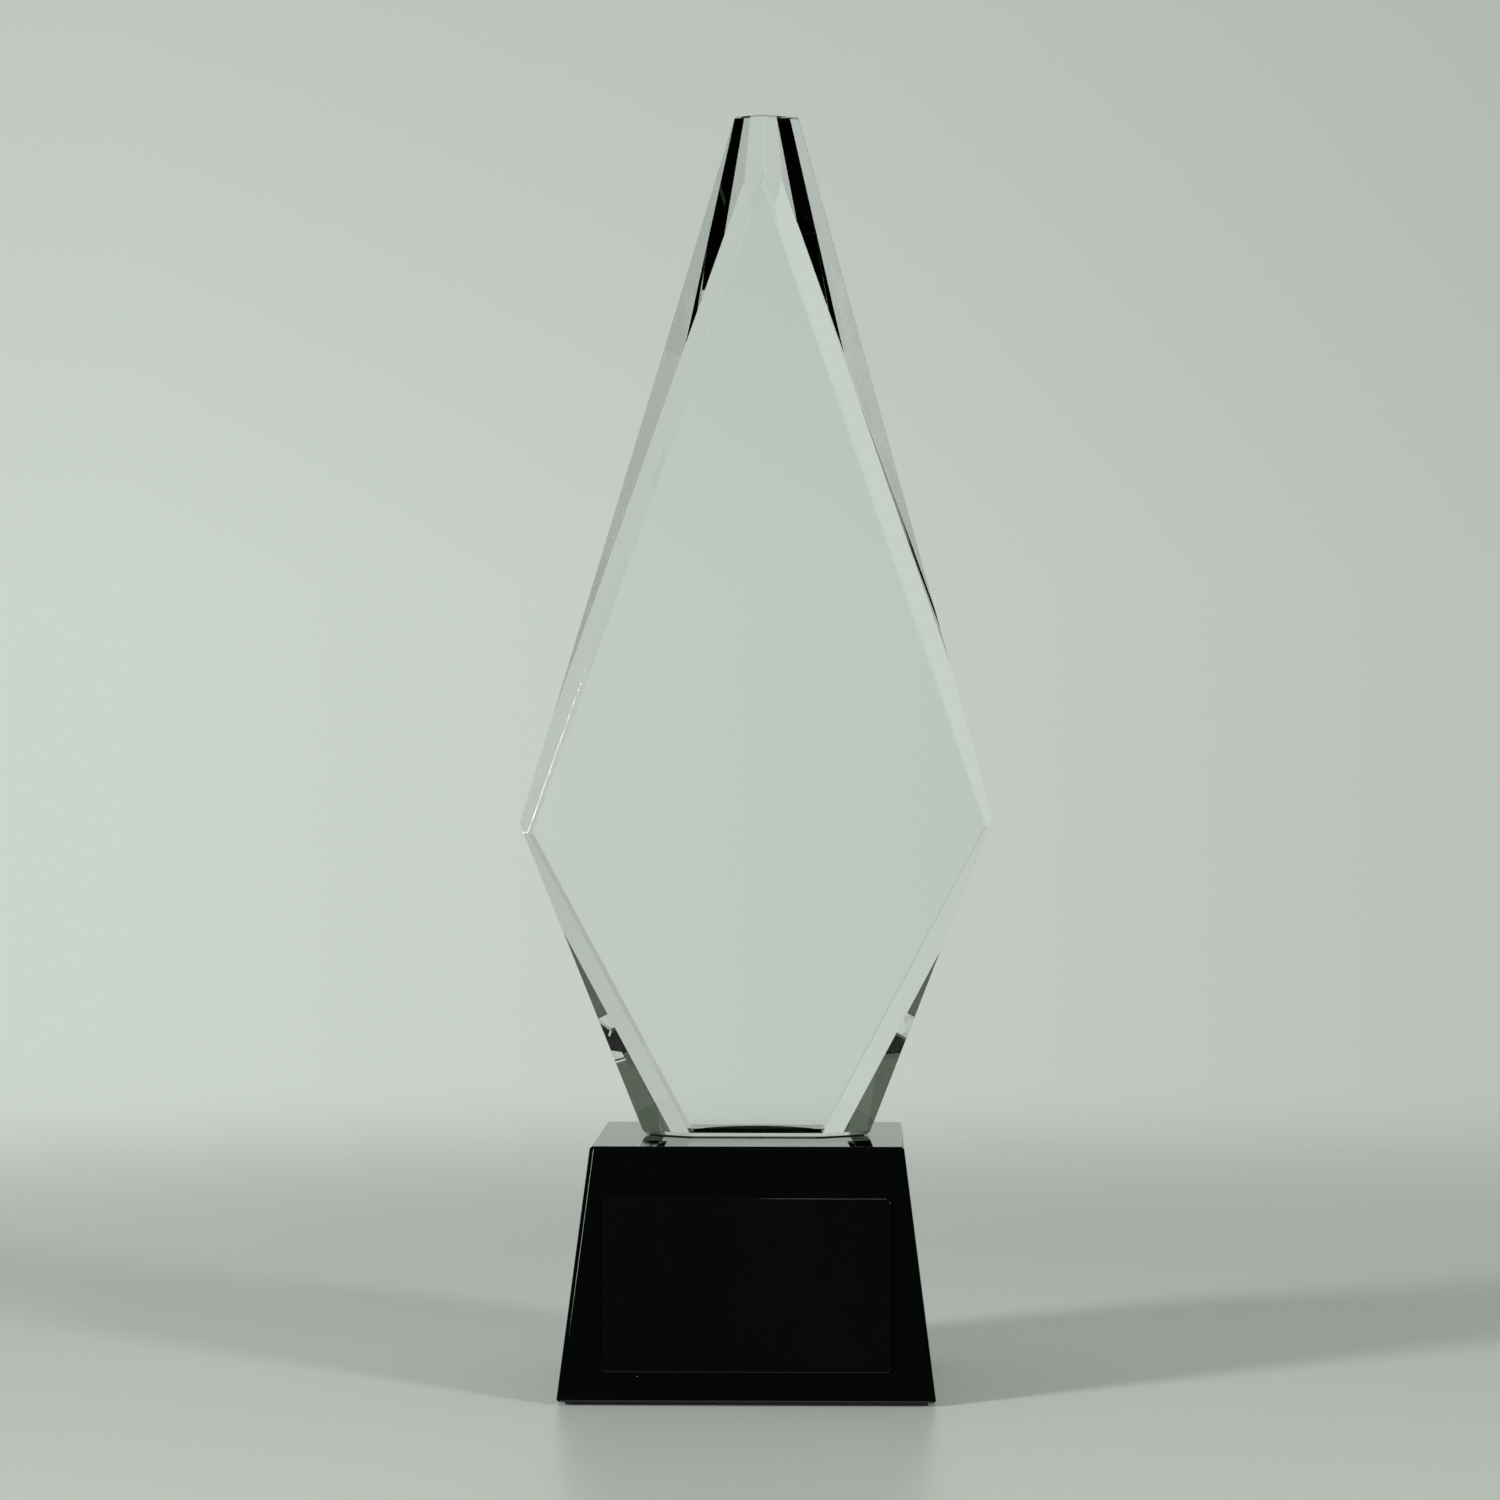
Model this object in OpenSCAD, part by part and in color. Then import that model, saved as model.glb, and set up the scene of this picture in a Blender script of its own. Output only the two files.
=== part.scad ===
// Crystal diamond award: a clear faceted crystal glued upright on a tapered black block.
// Z is up and the front faces -Y. The origin is at the centre of the underside.

/* [Crystal] */
// Height of the crystal from its foot to its flat top, mm
crystal_h = 203.6; // [190:0.1:215]
// Width of the crystal from its left corner to its right corner, mm
crystal_w = 94.2; // [86:0.1:102]
// Thickness of the crystal from front face to back face, mm
crystal_t = 19.2; // [16:0.1:22]
// Height of the left corner above the foot, mm
left_corner_z = 62.3; // [56:0.1:70]
// Height of the right corner above the foot, mm
right_corner_z = 63.7; // [56:0.1:70]
// Width of the flat top, mm
top_w = 12.7; // [10:0.1:14]
// How far the flat top's middle is to the right of the foot's middle, mm
top_shift = 2; // [-3:0.1:3]
// Width of the foot, mm
foot_w = 45; // [40:0.1:50]
// Height of the small chamfer round the foot, mm
foot_chamfer = 0.7; // [0.2:0.1:0.9]
// Height of the small chamfer round the flat top, mm
top_chamfer = 0.4; // [0.2:0.1:0.8]
// How far the crystal's foot is to the right of the block's middle, mm
crystal_shift = 1.3; // [-2:0.1:2]

/* [Kite faces] */
// Distance from the flat top down to the point of the front face, mm
front_apex_drop = 11.4; // [9:0.1:14]
// Distance from the flat top down to the point of the back face, mm
back_apex_drop = 13.3; // [9:0.1:15]
// How far the points of both faces are to the right of the foot's middle, mm
apex_shift = 1.2; // [-2:0.1:2]
// How far the faces' left corner is inside the crystal's left corner, mm
left_margin = 1.7; // [0.4:0.1:2.5]
// How far the faces' right corner is inside the crystal's right corner, mm
right_margin = 1.2; // [0.4:0.1:2.5]
// How far the faces' corners are below the crystal's corners, mm
corner_sink = 1.9; // [0.5:0.1:2.5]
// Width of each face where it meets the foot, mm
face_foot_w = 25.7; // [20:0.1:32]

/* [Bevels] */
// Angle between each kite face and its upper bevels, degrees
upper_bevel = 35.5; // [32:0.1:38]
// Angle between each kite face and its lower bevels, degrees
lower_bevel = 36.7; // [34:0.1:44]

/* [Base block] */
// Height of the black block, mm
base_h = 49; // [40:0.5:60]
// Side of the square top of the block, mm
base_top_w = 61.2; // [56:0.1:66]
// Side of the square underside of the block, mm
base_foot_w = 73.6; // [68:0.1:80]
// Width of the small polished chamfer on the block's long edges, mm
base_chamfer = 1.2; // [0.6:0.1:2]
// Width of the polished chamfer round the top and the underside, mm
rim_chamfer = 0.6; // [0.3:0.1:1.2]

/* [Plaque] */
// Width of the plaque, mm
plaque_w = 56; // [44:0.5:58]
// Height of the plaque along the sloping front, mm
plaque_h = 33.6; // [26:0.1:36]
// Thickness of the plaque, mm
plaque_t = 0.6; // [0.4:0.1:1]
// Radius of the plaque's corners, mm
plaque_r = 1; // [0.5:0.1:2]
// Distance from the top of the block down the front to the plaque, mm
plaque_drop = 10; // [8:0.1:12]
// Thickness of the adhesive sheet behind the plaque, mm
tape_t = 0.1; // [0.05:0.05:0.25]
// Distance of the adhesive sheet's edge inside the plaque's edge, mm
tape_inset = 1.2; // [0.5:0.1:2]

/* [Adhesive and felt] */
// Thickness of the adhesive film under the crystal, mm
bond_t = 0.2; // [0.1:0.05:0.4]
// Distance of the adhesive film's edge inside the flat of the crystal's foot, mm
bond_inset = 0.3; // [0.2:0.1:2]
// Height above the foot of the bead of adhesive behind it, at the bead's middle, mm
bead_h = 1.2; // [1:0.1:2]
// Height above the foot of the bead of adhesive behind it, at the bead's ends, mm
bead_end_h = 0.5; // [0.2:0.1:0.9]
// Width of the bead of adhesive where it lies on the block, mm
bead_t = 0.7; // [0.3:0.1:1.5]
// Thickness of the felt under the block, mm
felt_t = 0.8; // [0.6:0.1:1.5]
// Distance of the felt's edge inside the block's edge, mm
felt_inset = 1.5; // [1:0.1:4]

/* [Hidden] */
reach = 400;
front = -1;
back = 1;
left = -1;
right = 1;
upright = 90;
half_t = crystal_t / 2;
half_w = crystal_w / 2;
base_z = felt_t;
base_top_z = base_z + base_h;
crystal_z = base_top_z + bond_t;
side_run = (base_foot_w - base_top_w) / 2;
side_lean = atan(side_run / base_h);

// Points (x, z) of the crystal's outline, on its left or right side.
function top_end(side) = [top_shift + side * top_w / 2, crystal_h];
function corner(side) = [side * half_w, side == left ? left_corner_z : right_corner_z];
function foot_end(side) = [side * foot_w / 2, 0];

// Points (x, z) of the kite faces.
function apex(face) = [apex_shift, crystal_h - (face == front ? front_apex_drop : back_apex_drop)];
function margin(side) = side == left ? left_margin : right_margin;
function face_corner(side) = corner(side) - [side * margin(side), corner_sink];
function face_foot(side) = [side * face_foot_w / 2, 0];

// Direction of a flat ground along the line that rises from a to b (x, z). It points outwards, at the
// given angle from the direction of the kite face.
function facing(a, b, side, face, angle) =
    let (run = b - a, out = side * [run[1], -run[0]] / norm(run))
    [sin(angle) * out[0], face * cos(angle), sin(angle) * out[1]];

// Everything beyond the plane through p, on the side that n points to.
module beyond(p, n) {
    translate(p)
        rotate([0, atan2(norm([n[0], n[1]]), n[2]), atan2(n[1], n[0])])
            translate([-reach / 2, -reach / 2, 0])
                cube(reach);
}

// What a chamfer takes off the edge between the flat through p that faces n and the level face at
// height z. The level face looks up where way is 1 and down where it is -1.
module chamfer(p, n, z, size, way) {
    level = [n[0], n[1], 0] / norm([n[0], n[1]]);
    lean = n[2] / norm([n[0], n[1]]);
    rise = z - way * size - p[2];
    beyond(p + rise * ([0, 0, 1] - lean * level), level + [0, 0, way]);
}

// What grinding takes off below the corners, along the line from the foot up to the corner.
module grind_lower(a, b, side, face, angle) {
    p = [a[0], face * half_t, a[1]];
    n = facing(a, b, side, face, angle);
    beyond(p, n);
    chamfer(p, n, 0, foot_chamfer, -1);
}

// What grinding takes off above the corners, along the line from the corner up to the top.
module grind_upper(a, b, side, face, angle) {
    p = [a[0], face * half_t, a[1]];
    n = facing(a, b, side, face, angle);
    beyond(p, n);
    chamfer(p, n, crystal_h, top_chamfer, 1);
}

// Solid crystal: a wide slab ground to its outline, then given eight long bevels round the kite faces.
module crystal_diamond() {
    color([0.93, 0.97, 0.95, 0.35])
        translate([crystal_shift, 0, crystal_z])
            difference() {
                translate([-crystal_w, -half_t, 0])
                    cube([2 * crystal_w, crystal_t, crystal_h]);
                for (side = [left, right]) {
                    grind_lower(foot_end(side), corner(side), side, back, upright);
                    grind_upper(corner(side), top_end(side), side, back, upright);
                    for (face = [front, back]) {
                        grind_lower(face_foot(side), face_corner(side), side, face, lower_bevel);
                        grind_upper(face_corner(side), apex(face), side, face, upper_bevel);
                    }
                }
                for (face = [front, back])
                    chamfer([0, face * half_t, 0], [0, face, 0], 0, foot_chamfer, -1);
            }
}

// Bead of adhesive squeezed out along the foot's back edge. Its bowed top is highest in its middle.
// It starts under the foot, at the back edge of the film.
module squeezed_bead(bead_w, film_back) {
    rise = bead_h - bead_end_h;
    bow = (pow(bead_w / 2, 2) + pow(rise, 2)) / (2 * rise);
    intersection() {
        translate([-bead_w / 2, 0, 0])
            rotate([90, 0, 90])
                linear_extrude(bead_w)
                    polygon([
                        [film_back, 0], [half_t + bead_t, 0],
                        [half_t, bond_t + bead_h], [half_t, bond_t + foot_chamfer],
                        [half_t - foot_chamfer, bond_t], [film_back, bond_t]
                    ]);
        translate([0, 0, bond_t + bead_h - bow])
            rotate([-90, 0, 0])
                cylinder(r = bow, h = crystal_t, $fn = 96);
    }
}

// Film of cured adhesive that holds the crystal's foot on the block.
module bond_film() {
    slope = facing(face_foot(right), face_corner(right), right, back, lower_bevel);
    film_w = face_foot_w / 2 - foot_chamfer - bond_inset;
    film_side = foot_w / 2 - foot_chamfer - bond_inset;
    film_t = half_t - foot_chamfer - bond_inset;
    film_side_t = film_t - (film_side - film_w) * slope[0] / slope[1];
    color([0.9, 0.95, 0.93, 0.4])
        translate([crystal_shift, 0, base_top_z]) {
            linear_extrude(bond_t)
                polygon([
                    [-film_w, -film_t], [film_w, -film_t],
                    [film_side, -film_side_t], [film_side, film_side_t],
                    [film_w, film_t], [-film_w, film_t],
                    [-film_side, film_side_t], [-film_side, -film_side_t]
                ]);
            squeezed_bead(face_foot_w, film_t);
        }
}

// Tapered block with four leaning sides and a small chamfer on every edge.
module black_base() {
    half_foot = base_foot_w / 2;
    half_top = base_top_w / 2;
    corner_cut = half_foot - base_chamfer / sqrt(2) / 2;
    rim = rim_chamfer / sqrt(2);
    color([0.02, 0.022, 0.021])
        translate([0, 0, base_z])
            difference() {
                translate([-half_foot, -half_foot, 0])
                    cube([base_foot_w, base_foot_w, base_h]);
                for (turn = [0:90:270])
                    rotate([0, 0, turn]) {
                        beyond([half_foot, 0, 0], [base_h, 0, side_run]);
                        beyond([corner_cut, corner_cut, 0], [base_h, base_h, 2 * side_run]);
                        beyond([half_top - rim, 0, base_h], [1, 0, 1]);
                        beyond([half_foot - rim, 0, 0], [1, 0, -1]);
                    }
            }
}

// Places a part on the sloping front, with its own Z pointing out of the slope.
module on_front(drop, lift) {
    translate([0, -base_top_w / 2, base_top_z])
        rotate([90 - side_lean, 0, 0])
            translate([0, -drop, lift])
                children();
}

// Flat rounded plate with its top edge on the X axis.
module plate(w, h, t, r) {
    linear_extrude(t) {
        translate([-w / 2, r - h])
            square([w, h - 2 * r]);
        translate([r - w / 2, -h])
            square([w - 2 * r, h]);
        for (x = [r - w / 2, w / 2 - r], y = [r - h, -r])
            translate([x, y])
                circle(r, $fn = 48);
    }
}

// Double-sided adhesive sheet behind the plaque.
module plaque_tape() {
    color([0.08, 0.08, 0.08])
        on_front(plaque_drop + tape_inset, 0)
            plate(plaque_w - 2 * tape_inset, plaque_h - 2 * tape_inset, tape_t, plaque_r);
}

// Thin black plaque on the front of the block.
module name_plaque() {
    color([0.03, 0.032, 0.032])
        on_front(plaque_drop, tape_t)
            plate(plaque_w, plaque_h, plaque_t, plaque_r);
}

// Self-adhesive felt under the block.
module felt_pad() {
    side = base_foot_w - 2 * felt_inset;
    color([0.05, 0.05, 0.055])
        translate([-side / 2, -side / 2, 0])
            cube([side, side, felt_t]);
}

crystal_diamond();
bond_film();
black_base();
plaque_tape();
name_plaque();
felt_pad();
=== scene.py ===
"""Looks of the crystal diamond award, on top of its CAD frame. Metres, Z up, the front faces -Y."""

import math

import bmesh
import bpy
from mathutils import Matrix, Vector, noise


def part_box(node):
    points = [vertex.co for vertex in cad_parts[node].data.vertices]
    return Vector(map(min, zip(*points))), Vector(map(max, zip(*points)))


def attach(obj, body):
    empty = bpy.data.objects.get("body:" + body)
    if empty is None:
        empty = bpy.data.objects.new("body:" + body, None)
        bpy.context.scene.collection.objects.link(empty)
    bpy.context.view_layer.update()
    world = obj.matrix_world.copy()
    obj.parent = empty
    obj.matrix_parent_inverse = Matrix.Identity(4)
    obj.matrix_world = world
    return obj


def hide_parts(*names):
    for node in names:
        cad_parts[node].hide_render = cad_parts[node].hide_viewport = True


MM = 0.001

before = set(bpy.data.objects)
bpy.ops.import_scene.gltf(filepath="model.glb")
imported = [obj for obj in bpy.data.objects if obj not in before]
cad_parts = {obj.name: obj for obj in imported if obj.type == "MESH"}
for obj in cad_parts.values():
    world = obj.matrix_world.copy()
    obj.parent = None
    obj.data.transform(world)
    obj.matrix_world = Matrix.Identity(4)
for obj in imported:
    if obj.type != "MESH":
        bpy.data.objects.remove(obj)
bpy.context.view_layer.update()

# Refraction of the glass, and the width of the fine edges that polishing leaves on it and on the plaque
GLASS_IOR = 1.52
CRYSTAL_ARRIS = 0.08 * MM
BASE_ARRIS = 0.07 * MM
PLAQUE_ARRIS = 0.14 * MM

# An edge is real when its faces meet at more than this angle, and corners this close are one
EDGE_ANGLE = math.radians(9)
WELD_GAP = 0.001 * MM

# How far the adhesive laps its neighbours
BOND_LAP = 0.02 * MM

# Camera: a little below the crystal's middle, and turned, shifted and dipped by very small amounts
LENS_MM = 116.6
SENSOR_MM = 36.0
CAMERA_DISTANCE = 0.9755
CAMERA_HEIGHT = 0.1299
CAMERA_TURN = math.radians(1.4)
CAMERA_SIDE = 0.0001
CAMERA_DIP = math.radians(0.177)

# Felt: points on each side of its outline, levels of its cut edge, and that edge's shape and grain
FELT_STEPS = 96
FELT_LEVELS = 5
FELT_CORNER = 1.0 * MM
FELT_BULGE = 0.12 * MM
FELT_RAGGED = 0.16 * MM
FELT_TRIM = 0.2 * MM
FELT_GRAIN = 900
FELT_GRAIN_UP = 2400

# The table top is solid this far from the award, has faded out at the second distance, and ends at the third
FLOOR_NEAR = 0.12
FLOOR_FAR = 0.9
FLOOR_EDGE = FLOOR_FAR * 1.02

# Lamps stand round the award at one distance, and their heights are above the table top
LAMP_DISTANCE = 1.5
LAMP_LOW = 0.27
KEY_HIGH = 0.51
KEY_WIDTH = 0.24
LINE_HIGH = 0.545
LINE_WIDTH = 0.75
TOP_LINE_LOW = 1.0
TOP_LINE_HIGH = 1.7
TOP_LINE_WIDTH = 0.5
OVERHEAD_HEIGHT = 1.9
OVERHEAD_SIZE = 1.3
OVERHEAD_WATTS = 9.0
LAMP_WHITE = (0.98, 1.0, 0.99)

# The black curtain that only mirrors see: how many degrees it reaches to either side of the camera's side
CURTAIN_RADIUS = 2.0
CURTAIN_REACH = 100
CURTAIN_LOW = -0.2
CURTAIN_HIGH = 1.2
CURTAIN_STEPS = 40

# Brightness of the surroundings from left to right, at the horizon and a little above it
SIDE_REACH = 0.4
SIDE_PLACES = (0.0, 0.31, 0.5, 0.69, 0.9)
PALE_LEVELS = (0.605, 0.605, 0.545, 0.47, 0.55)
DIM_LEVELS = (0.52, 0.52, 0.49, 0.435, 0.46)

# Parts of a direction that point up or back, from where the surroundings start to change to where they have
DIM_RISE = (0.03, 0.15)
BEHIND = (0.55, 0.8)

# The same in degrees of elevation for the dark ceiling and its darkest part, and their two colours
CEILING_RISE = (10, 19)
ZENITH_RISE = (50, 65)
CEILING_COLOUR = (0.062, 0.08, 0.055)
ZENITH_COLOUR = (0.012, 0.014, 0.013)

# Every light path ends after this many bounces at most, which keeps the crystal's steep facets dark
PATH_BOUNCES = 10


# ---------------------------------------------------------------- node helpers


def new_material(name):
    """A material with an empty node tree and its output node."""
    material = bpy.data.materials.new(name)
    material.use_nodes = True
    material.node_tree.nodes.clear()
    output = material.node_tree.nodes.new("ShaderNodeOutputMaterial")
    return material, material.node_tree, output


def add(tree, kind, settings=None, **inputs):
    """A new node with attributes from settings and sockets from keywords, where _ stands for a space."""
    made = tree.nodes.new(kind)
    for key, value in (settings or {}).items():
        setattr(made, key, value)
    for key, value in inputs.items():
        socket = made.inputs[key.replace("_", " ")]
        if isinstance(value, bpy.types.NodeSocket):
            tree.links.new(value, socket)
        else:
            socket.default_value = value
    return made


def object_coordinates(tree):
    """Positions on the piece in metres."""
    return tree.nodes.new("ShaderNodeTexCoord").outputs["Object"]


def scaled(tree, vector, scale):
    """The vector multiplied by a size, which may differ along each axis."""
    size = scale if isinstance(scale, tuple) else (scale, scale, scale)
    return add(tree, "ShaderNodeMapping", Vector=vector, Scale=size).outputs["Vector"]


def noise_value(tree, vector, scale, detail=3.0, roughness=0.55):
    """Noise from 0 to 1 with the given number of cells per metre."""
    made = add(tree, "ShaderNodeTexNoise", Vector=vector, Scale=scale, Detail=detail, Roughness=roughness)
    return made.outputs["Fac"]


def remapped(tree, value, low, high, to_low, to_high, curve="LINEAR"):
    """The value from low..high stretched to to_low..to_high and clamped."""
    made = add(tree, "ShaderNodeMapRange", {"clamp": True, "interpolation_type": curve}, Value=value)
    for name, number in (("From Min", low), ("From Max", high), ("To Min", to_low), ("To Max", to_high)):
        made.inputs[name].default_value = number
    return made.outputs["Result"]


def combined(tree, operation, first, second):
    """A maths node of two values."""
    made = tree.nodes.new("ShaderNodeMath")
    made.operation = operation
    for socket, value in zip(made.inputs, (first, second)):
        if isinstance(value, bpy.types.NodeSocket):
            tree.links.new(value, socket)
        else:
            socket.default_value = value
    return made.outputs["Value"]


def mixed_colour(tree, amount, first, second):
    """Two colours mixed by amount, where each is a socket or plain numbers."""
    made = tree.nodes.new("ShaderNodeMix")
    made.data_type = "RGBA"
    tree.links.new(amount, made.inputs[0])
    for socket, colour in ((made.inputs[6], first), (made.inputs[7], second)):
        if isinstance(colour, bpy.types.NodeSocket):
            tree.links.new(colour, socket)
        else:
            socket.default_value = (*colour, 1)
    return made.outputs[2]


def bumped(tree, height, strength, distance):
    """A normal from a height."""
    made = add(tree, "ShaderNodeBump", Height=height, Strength=strength, Distance=distance)
    return made.outputs["Normal"]


def upward_share(tree):
    """How far the surface faces up, from -1 to 1."""
    normal = tree.nodes.new("ShaderNodeNewGeometry").outputs["Normal"]
    return add(tree, "ShaderNodeSeparateXYZ", Vector=normal).outputs["Z"]


def specks(tree, vector, per_metre, size):
    """1 inside small round specks and 0 outside, with a share of the cells left empty."""
    cells = add(tree, "ShaderNodeTexVoronoi", Vector=vector, Scale=per_metre, Randomness=1.0)
    dot = remapped(tree, cells.outputs["Distance"], size, size * 0.6, 0.0, 1.0)
    chosen = remapped(tree, cells.outputs["Color"], 0.62, 0.66, 0.0, 1.0)
    return combined(tree, "MULTIPLY", dot, chosen)


def finish_surface(tree, output, shader):
    """Makes the shader the material's surface."""
    tree.links.new(shader.outputs[0], output.inputs["Surface"])


# ---------------------------------------------------------------- materials


def crystal_glass():
    """Clear polished optical glass with faint wipe marks, sparse dust and a slight green in long paths."""
    material, tree, output = new_material("crystal_glass")
    place = object_coordinates(tree)
    wipes = noise_value(tree, scaled(tree, place, (90.0, 90.0, 14.0)), 1.0, 4.0)
    haze = remapped(tree, wipes, 0.58, 0.78, 0.0, 0.012)
    dust = specks(tree, place, 260.0, 0.05)
    rough = combined(tree, "MAXIMUM", haze, combined(tree, "MULTIPLY", dust, 0.35))
    ripple = noise_value(tree, place, 55.0, 1.0)
    glass = add(
        tree,
        "ShaderNodeBsdfPrincipled",
        Base_Color=(0.985, 0.995, 0.99, 1),
        Roughness=rough,
        IOR=GLASS_IOR,
        Transmission_Weight=1.0,
        Normal=bumped(tree, ripple, 0.01, 0.004 * MM),
    )
    finish_surface(tree, output, glass)
    body = add(tree, "ShaderNodeVolumeAbsorption", Color=(0.86, 0.93, 0.84, 1), Density=0.5)
    tree.links.new(body.outputs["Volume"], output.inputs["Volume"])
    return material


def black_glass(name, lightest):
    """Opaque black glass: a mirror polish with wipe marks, hair-fine scratches and a little dust."""
    material, tree, output = new_material(name)
    place = object_coordinates(tree)
    wipes = noise_value(tree, scaled(tree, place, (60.0, 60.0, 18.0)), 1.0, 4.0)
    haze = remapped(tree, wipes, 0.45, 0.75, 0.01, 0.035)
    dust = specks(tree, place, 340.0, 0.045)
    rough = combined(tree, "MAXIMUM", haze, combined(tree, "MULTIPLY", dust, 0.5))
    tint = mixed_colour(tree, dust, (0.0008, 0.0011, 0.001), lightest)
    scratches = noise_value(tree, scaled(tree, place, (900.0, 120.0, 60.0)), 1.0, 2.0)
    glass = add(
        tree,
        "ShaderNodeBsdfPrincipled",
        Base_Color=tint,
        Roughness=rough,
        IOR=GLASS_IOR,
        Normal=bumped(tree, scratches, 0.025, 0.01 * MM),
    )
    finish_surface(tree, output, glass)
    return material


def plaque_lacquer():
    """Black lacquer on thin metal, with the slight waviness of a sprayed coat."""
    material, tree, output = new_material("plaque_lacquer")
    place = object_coordinates(tree)
    orange_peel = noise_value(tree, place, 900.0, 2.0)
    wipes = noise_value(tree, scaled(tree, place, (70.0, 70.0, 24.0)), 1.0, 3.0)
    dust = specks(tree, place, 380.0, 0.05)
    haze = remapped(tree, wipes, 0.4, 0.75, 0.012, 0.035)
    rough = combined(tree, "MAXIMUM", haze, combined(tree, "MULTIPLY", dust, 0.5))
    tint = mixed_colour(tree, wipes, (0.0009, 0.0012, 0.001), (0.0015, 0.0018, 0.0016))
    lacquer = add(
        tree,
        "ShaderNodeBsdfPrincipled",
        Base_Color=tint,
        Roughness=rough,
        IOR=1.5,
        Coat_Weight=0.3,
        Coat_Roughness=0.03,
        Normal=bumped(tree, orange_peel, 0.03, 0.02 * MM),
    )
    finish_surface(tree, output, lacquer)
    return material


def tape_foam():
    """Black adhesive foam seen on its cut edge."""
    material, tree, output = new_material("tape_foam")
    place = object_coordinates(tree)
    cells = add(tree, "ShaderNodeTexVoronoi", Vector=place, Scale=6000.0).outputs["Distance"]
    tint = mixed_colour(tree, cells, (0.01, 0.01, 0.011), (0.035, 0.035, 0.036))
    foam = add(
        tree,
        "ShaderNodeBsdfPrincipled",
        Base_Color=tint,
        Roughness=remapped(tree, cells, 0.0, 0.6, 0.7, 0.95),
        Normal=bumped(tree, cells, 0.4, 0.03 * MM),
    )
    finish_surface(tree, output, foam)
    return material


def felt_cloth():
    """Short black felt: matted fibres that catch a little light."""
    material, tree, output = new_material("felt_cloth")
    place = object_coordinates(tree)
    fibres = noise_value(tree, scaled(tree, place, (2600.0, 900.0, 1800.0)), 1.0, 5.0, 0.7)
    tufts = noise_value(tree, place, 420.0, 3.0)
    depth = combined(tree, "MULTIPLY", fibres, tufts)
    tint = mixed_colour(tree, fibres, (0.002, 0.002, 0.0023), (0.014, 0.014, 0.016))
    felt = add(
        tree,
        "ShaderNodeBsdfPrincipled",
        Base_Color=tint,
        Roughness=remapped(tree, tufts, 0.3, 0.7, 0.85, 1.0),
        Sheen_Weight=0.12,
        Sheen_Roughness=0.5,
        Normal=bumped(tree, depth, 0.8, 0.15 * MM),
    )
    finish_surface(tree, output, felt)
    return material


def cured_adhesive():
    """Clear adhesive on black glass, painted: black where it faces up, as the black glass shows through it,
    with a few bubbles whose lighter specks are painted glints, and dark grey on its rippled rim as painted
    shade of the thin gap under the crystal.
    """
    material, tree, output = new_material("cured_adhesive")
    place = object_coordinates(tree)
    # The bubbles are real, but the light colour of their specks is a painted glint.
    bubble_glint_specks = specks(tree, place, 520.0, 0.09)
    ripple = noise_value(tree, scaled(tree, place, (500.0, 500.0, 1200.0)), 1.0, 3.0)
    black_top_with_painted_glints = mixed_colour(tree, bubble_glint_specks, (0.003, 0.004, 0.0035), (0.10, 0.12, 0.11))
    # Painted shade: the rim's dark grey stands for the shadow in the thin gap under the crystal.
    painted_shade_rim = mixed_colour(tree, ripple, (0.01, 0.013, 0.011), (0.05, 0.06, 0.055))
    upward = remapped(tree, upward_share(tree), 0.35, 0.5, 0.0, 1.0)
    adhesive = add(
        tree,
        "ShaderNodeBsdfPrincipled",
        Base_Color=mixed_colour(tree, upward, painted_shade_rim, black_top_with_painted_glints),
        Roughness=remapped(tree, ripple, 0.3, 0.7, 0.2, 0.45),
        IOR=1.0,
        Specular_IOR_Level=0.0,
        Normal=bumped(tree, ripple, 0.2, 0.03 * MM),
    )
    finish_surface(tree, output, adhesive)
    return material


# ---------------------------------------------------------------- pieces


def dress(node, material):
    """Gives a CAD node its finished material."""
    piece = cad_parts[node]
    for slot in piece.material_slots:
        slot.link = "OBJECT"
        slot.material = material
    return piece


def polish_edges(piece, width, clamp=True):
    """Rounds every real edge by a small amount, as grinding and polishing leaves it. With clamp, short
    edges such as those of rounded corners limit the amount."""
    weld = piece.modifiers.new("weld", "WELD")
    weld.merge_threshold = WELD_GAP
    arris = piece.modifiers.new("arris", "BEVEL")
    arris.width = width
    arris.segments = 2
    arris.limit_method = "ANGLE"
    arris.angle_limit = EDGE_ANGLE
    arris.harden_normals = True
    arris.use_clamp_overlap = clamp


def wet_glass(piece, lap):
    """Lets the adhesive lap a hair into its neighbours, so that no air shows between them."""
    weld = piece.modifiers.new("weld", "WELD")
    weld.merge_threshold = WELD_GAP
    swell = piece.modifiers.new("swell", "DISPLACE")
    swell.strength = lap
    swell.mid_level = 0.0


def new_piece(name, mesh_builder, materials):
    """An object from a bmesh, with its materials."""
    mesh = bpy.data.meshes.new(name)
    mesh_builder.to_mesh(mesh)
    mesh_builder.free()
    for material in materials:
        mesh.materials.append(material)
    piece = bpy.data.objects.new(name, mesh)
    bpy.context.scene.collection.objects.link(piece)
    return piece


def felt_outline(half):
    """Points (x, y) round the felt's square outline, with its corners cut off."""
    loop = []
    for side in range(4):
        turn = side * math.pi / 2
        for i in range(FELT_STEPS):
            along = -half + FELT_CORNER + (2 * half - 2 * FELT_CORNER) * i / (FELT_STEPS - 1)
            x = half * math.cos(turn) - along * math.sin(turn)
            y = half * math.sin(turn) + along * math.cos(turn)
            loop.append((x, y))
    return loop


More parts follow.
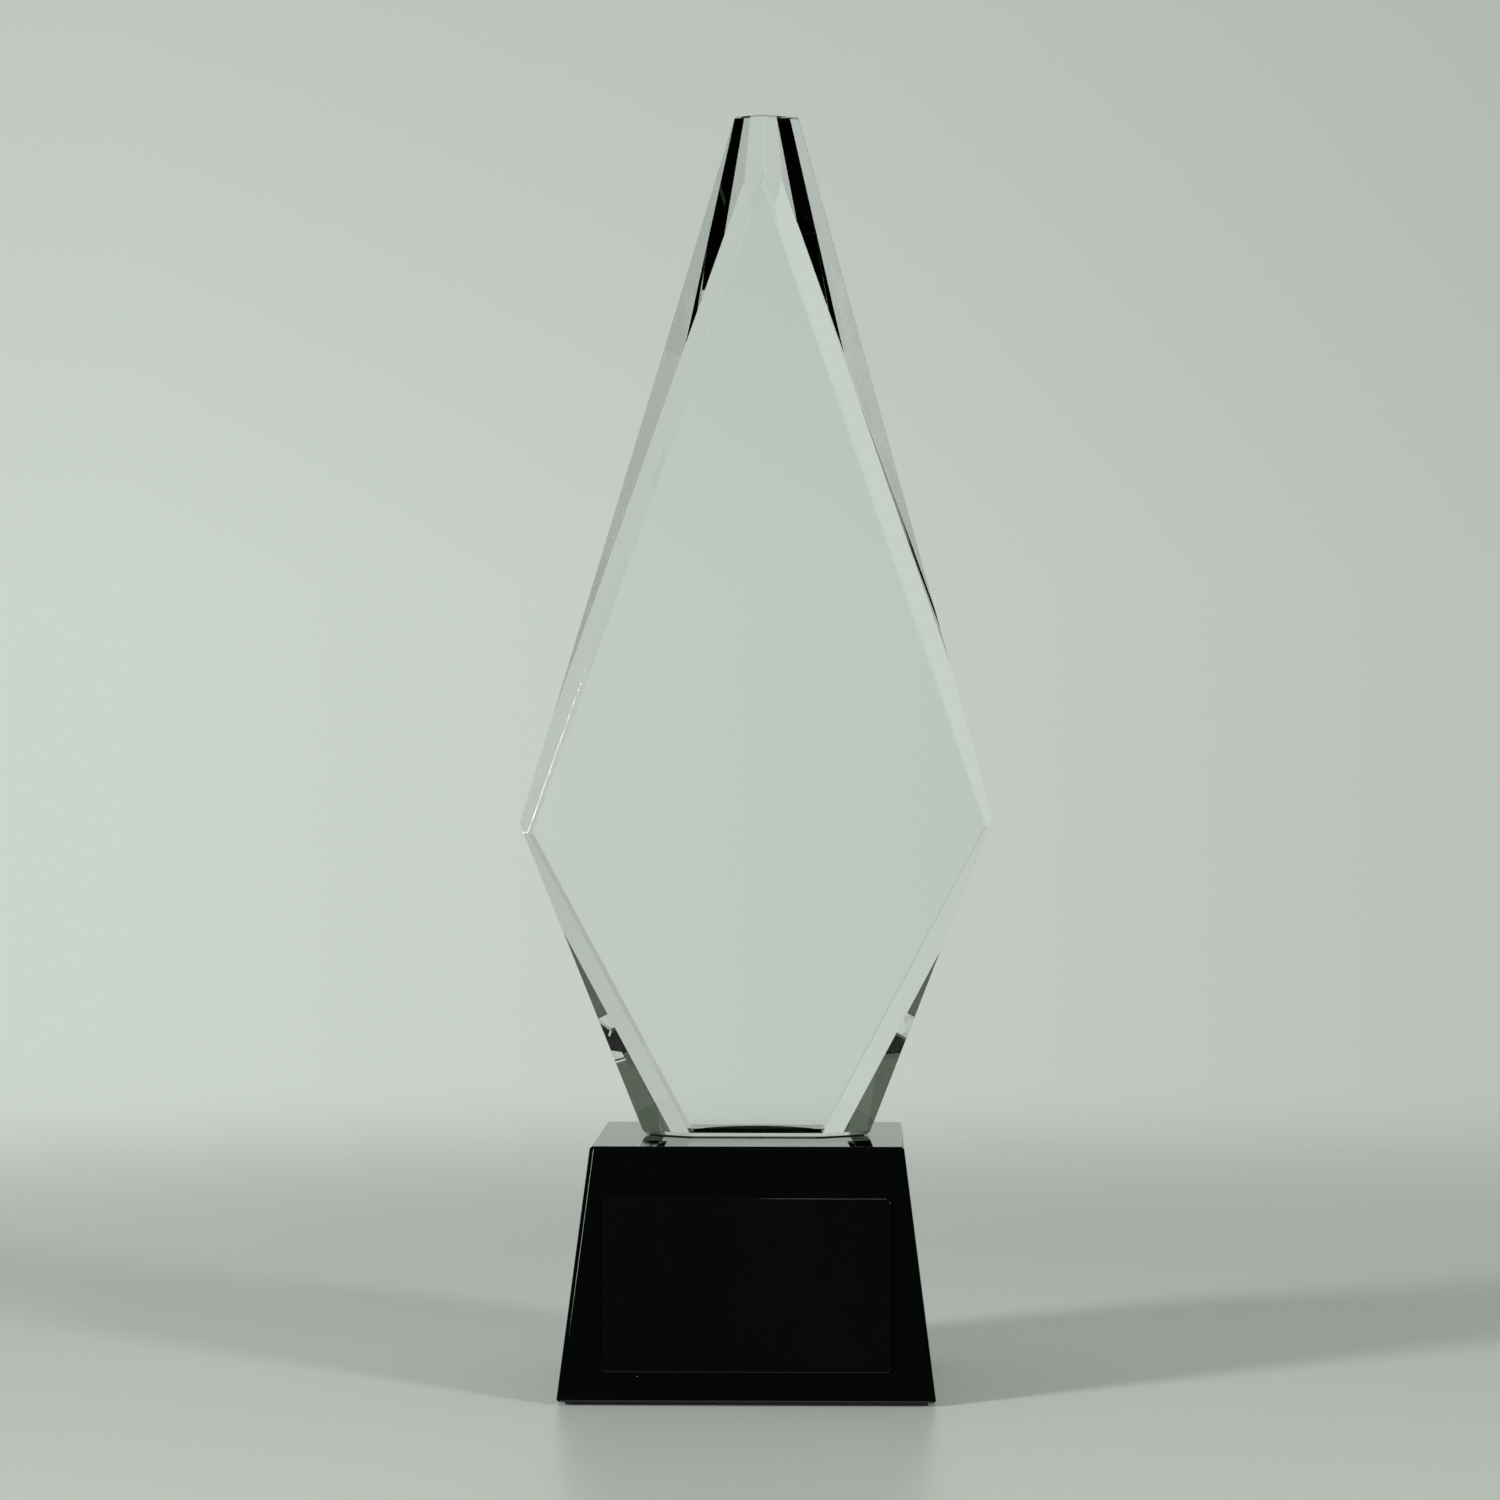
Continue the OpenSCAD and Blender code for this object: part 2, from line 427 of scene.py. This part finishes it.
def felt_ring(made, loop, half, height, share):
    """One level of the felt's cut edge, slightly ragged, and fullest halfway up."""
    bulge = FELT_BULGE * math.sin(math.pi * share)
    ring = []
    for x, y in loop:
        grain = Vector((x * FELT_GRAIN, y * FELT_GRAIN, height * FELT_GRAIN_UP))
        grow = 1 + (bulge + FELT_RAGGED * noise.noise(grain) - FELT_TRIM) / half
        ring.append(made.verts.new((x * grow, y * grow, height)))
    return ring


def make_felt():
    """The felt pad with its cut edge."""
    low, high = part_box("felt_pad")
    made = bmesh.new()
    half = (high.x - low.x) / 2
    loop = felt_outline(half)
    rings = []
    for level in range(FELT_LEVELS):
        share = level / (FELT_LEVELS - 1)
        height = low.z + (high.z - low.z) * share
        rings.append(felt_ring(made, loop, half, height, share))
    count = len(loop)
    for lower, upper in zip(rings, rings[1:]):
        for i in range(count):
            j = (i + 1) % count
            made.faces.new((lower[i], lower[j], upper[j], upper[i]))
    made.faces.new(rings[-1])
    made.faces.new(list(reversed(rings[0])))
    bmesh.ops.recalc_face_normals(made, faces=made.faces)
    piece = new_piece("felt_pad_cut", made, [felt_cloth()])
    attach(piece, "root")
    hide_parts("felt_pad")


def make_object():
    """The award: five CAD pieces with their materials, three of them with fine edges, and the felt."""
    polish_edges(dress("crystal_diamond", crystal_glass()), CRYSTAL_ARRIS)
    polish_edges(dress("black_base", black_glass("black_glass", (0.09, 0.095, 0.09))), BASE_ARRIS)
    polish_edges(dress("name_plaque", plaque_lacquer()), PLAQUE_ARRIS, clamp=False)
    dress("plaque_tape", tape_foam())
    wet_glass(dress("bond_film", cured_adhesive()), BOND_LAP)
    make_felt()


# ---------------------------------------------------------------- stage


def stage_floor():
    """A pale table top with a soft sheen, which runs out into the pale surroundings."""
    material, tree, output = new_material("stage_floor")
    place = object_coordinates(tree)
    cloud = noise_value(tree, place, 9.0, 2.0)
    grain = noise_value(tree, place, 1600.0, 2.0)
    tint = mixed_colour(tree, cloud, (0.44, 0.48, 0.45), (0.46, 0.50, 0.47))
    floor = add(
        tree,
        "ShaderNodeBsdfPrincipled",
        Base_Color=tint,
        Roughness=remapped(tree, grain, 0.3, 0.7, 0.33, 0.37),
        IOR=1.38,
        Normal=bumped(tree, grain, 0.02, 0.1 * MM),
    )
    reach = add(tree, "ShaderNodeVectorMath", {"operation": "LENGTH"})
    tree.links.new(place, reach.inputs[0])
    fade = remapped(tree, reach.outputs["Value"], FLOOR_NEAR, FLOOR_FAR, 0.0, 1.0, "SMOOTHERSTEP")
    away = tree.nodes.new("ShaderNodeBsdfTransparent")
    both = tree.nodes.new("ShaderNodeMixShader")
    tree.links.new(fade, both.inputs[0])
    tree.links.new(floor.outputs[0], both.inputs[1])
    tree.links.new(away.outputs[0], both.inputs[2])
    finish_surface(tree, output, both)
    made = bmesh.new()
    bmesh.ops.create_circle(made, cap_ends=True, segments=128, radius=FLOOR_EDGE)
    new_piece("stage_floor", made, [material])


def side_ramp(tree, side, levels):
    """Greys with a touch of green, from far left through the middle to far right."""
    ramp = tree.nodes.new("ShaderNodeValToRGB")
    tree.links.new(side, ramp.inputs["Fac"])
    stops = ramp.color_ramp.elements
    for place in SIDE_PLACES[1:-1]:
        stops.new(place)
    for stop, place, level in zip(stops, SIDE_PLACES, levels):
        stop.position = place
        stop.color = (level, level * 1.1, level * 0.99, 1)
    return ramp.outputs["Color"]


def rising(tree, height, start, end):
    """0 below the first elevation in degrees, 1 above the second."""
    return remapped(tree, height, math.sin(math.radians(start)), math.sin(math.radians(end)), 0.0, 1.0)


def stage_world():
    """Pale surroundings, lighter on the left, that are dark higher up except behind the award."""
    world = bpy.data.worlds.new("stage_world")
    bpy.context.scene.world = world
    world.use_nodes = True
    tree = world.node_tree
    tree.nodes.clear()
    output = tree.nodes.new("ShaderNodeOutputWorld")
    direction = tree.nodes.new("ShaderNodeTexCoord").outputs["Generated"]
    parts = add(tree, "ShaderNodeSeparateXYZ", Vector=direction)
    height = parts.outputs["Z"]
    side = remapped(tree, parts.outputs["X"], -SIDE_REACH, SIDE_REACH, 0.0, 1.0)
    pale = side_ramp(tree, side, PALE_LEVELS)
    dim = side_ramp(tree, side, DIM_LEVELS)
    level = remapped(tree, height, *DIM_RISE, 0.0, 1.0)
    around = mixed_colour(tree, level, pale, dim)
    not_behind = remapped(tree, parts.outputs["Y"], *BEHIND, 1.0, 0.0)
    dark = combined(tree, "MULTIPLY", rising(tree, height, *CEILING_RISE), not_behind)
    ceiling = mixed_colour(tree, rising(tree, height, *ZENITH_RISE), CEILING_COLOUR, ZENITH_COLOUR)
    colour = mixed_colour(tree, dark, around, ceiling)
    light = add(tree, "ShaderNodeBackground", Color=colour, Strength=1.0)
    tree.links.new(light.outputs[0], output.inputs["Surface"])


def softbox(name, azimuth, width, low, high, radiance, colour):
    """An upright soft lamp at an azimuth round the award, 0 on the camera's side and -90 on its left."""
    across = math.radians(azimuth)
    ray = Vector((math.sin(across), -math.cos(across), 0))
    lamp = bpy.data.lights.new(name, "AREA")
    lamp.shape = "RECTANGLE"
    lamp.size, lamp.size_y = width, high - low
    lamp.energy = radiance * math.pi * width * (high - low)
    lamp.color = colour
    made = bpy.data.objects.new(name, lamp)
    made.location = ray * LAMP_DISTANCE + Vector((0, 0, (low + high) / 2))
    made.rotation_euler = (-ray).to_track_quat("-Z", "Y").to_euler()
    made.visible_transmission = False
    bpy.context.scene.collection.objects.link(made)
    return made


def overhead():
    """A large soft lamp above the table top."""
    lamp = bpy.data.lights.new("overhead", "AREA")
    lamp.shape = "DISK"
    lamp.size = OVERHEAD_SIZE
    lamp.energy = OVERHEAD_WATTS
    lamp.color = (0.97, 1.0, 0.97)
    made = bpy.data.objects.new("overhead", lamp)
    made.location = (0, 0, OVERHEAD_HEIGHT)
    made.visible_transmission = False
    made.visible_glossy = False
    bpy.context.scene.collection.objects.link(made)


def only_piece(name, node):
    """A group with the one piece that a lamp shines on."""
    group = bpy.data.collections.new(name)
    group.objects.link(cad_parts[node])
    return group


def key_lamps():
    """Two low lamps that throw the long shadows."""
    for name, azimuth, radiance, colour in (
        ("left_key", -50, 215.0, (1.0, 0.97, 1.0)),
        ("right_key", 44, 125.0, (1.0, 1.0, 0.93)),
    ):
        lamp = softbox(name, azimuth, KEY_WIDTH, LAMP_LOW, KEY_HIGH, radiance, colour)
        lamp.visible_glossy = False


def line_lamps():
    """Lamps that are only mirrored, each in the edges of one piece, where they draw thin light lines."""
    for name, azimuth, width, low, high, radiance, node in (
        ("crystal_line", -61, LINE_WIDTH, LAMP_LOW, LINE_HIGH, 50.0, "crystal_diamond"),
        ("block_line", -61, LINE_WIDTH, LAMP_LOW, LINE_HIGH, 16.0, "black_base"),
        ("plaque_top_line", 8, TOP_LINE_WIDTH, TOP_LINE_LOW, TOP_LINE_HIGH, 8.0, "name_plaque"),
        ("plaque_side_line", 61, LINE_WIDTH, LAMP_LOW, LINE_HIGH, 14.0, "name_plaque"),
    ):
        lamp = softbox(name, azimuth, width, low, high, radiance, LAMP_WHITE)
        lamp.visible_diffuse = False
        lamp.light_linking.receiver_collection = only_piece(name, node)


def stage_flag():
    """A black curtain round the camera's side, so that the polished block has nothing pale to mirror."""
    material, tree, output = new_material("stage_flag")
    card = add(tree, "ShaderNodeBsdfDiffuse", Color=(0.004, 0.004, 0.004, 1))
    finish_surface(tree, output, card)
    made = bmesh.new()
    columns = []
    for step in range(CURTAIN_STEPS + 1):
        turn = math.radians(-CURTAIN_REACH + 2 * CURTAIN_REACH * step / CURTAIN_STEPS)
        x = CURTAIN_RADIUS * math.sin(turn)
        y = -CURTAIN_RADIUS * math.cos(turn)
        columns.append([made.verts.new((x, y, z)) for z in (CURTAIN_LOW, CURTAIN_HIGH)])
    for first, second in zip(columns, columns[1:]):
        made.faces.new((first[0], second[0], second[1], first[1]))
    piece = new_piece("stage_flag", made, [material])
    for ray in ("camera", "diffuse", "transmission", "shadow"):
        setattr(piece, "visible_" + ray, False)


def stage_camera():
    """The camera faces the award, turned by a small angle round it."""
    data = bpy.data.cameras.new("camera")
    data.lens = LENS_MM
    data.sensor_width = SENSOR_MM
    data.clip_end = 40
    camera = bpy.data.objects.new("camera", data)
    across = Vector((math.cos(CAMERA_TURN), math.sin(CAMERA_TURN), 0))
    ahead = Vector((-math.sin(CAMERA_TURN), math.cos(CAMERA_TURN), 0))
    camera.location = Vector((0, 0, CAMERA_HEIGHT)) - ahead * CAMERA_DISTANCE - across * CAMERA_SIDE
    camera.rotation_euler = (math.pi / 2 - CAMERA_DIP, 0, CAMERA_TURN)
    bpy.context.scene.collection.objects.link(camera)
    bpy.context.scene.camera = camera


def make_stage():
    """The table top, the surroundings, the lamps, the curtain, the camera and how light is followed."""
    stage_floor()
    stage_world()
    key_lamps()
    line_lamps()
    overhead()
    stage_flag()
    stage_camera()
    scene = bpy.context.scene
    scene.view_settings.view_transform = "Standard"
    scene.cycles.max_bounces = PATH_BOUNCES
    scene.cycles.glossy_bounces = PATH_BOUNCES
    scene.cycles.transmission_bounces = PATH_BOUNCES


make_object()
make_stage()
